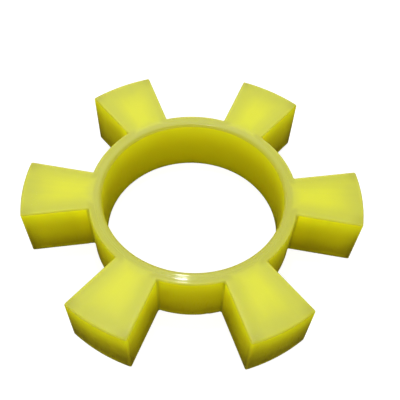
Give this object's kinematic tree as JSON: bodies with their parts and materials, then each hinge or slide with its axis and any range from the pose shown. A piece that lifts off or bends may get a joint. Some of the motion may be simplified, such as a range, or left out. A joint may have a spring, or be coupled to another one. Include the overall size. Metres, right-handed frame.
{
  "type": "jaw coupling spider",
  "caption": "Flat elastic spider for a jaw coupling: a thin ring round a wide open bore, with flat-sided arms that widen outwards and cushion the jaws of both hubs.",
  "frame": {"origin": "on the coupling's axis, halfway through the spider's thickness", "axes": "+Z along the coupling's axis, +X through the middle of one arm"},
  "size_m": [0.12, 0.1138, 0.022],
  "materials": {
    "cast_polyurethane": "satin"
  },
  "bodies": {
    "root": {"spider": "cast_polyurethane"}
  },
  "joints": []
}
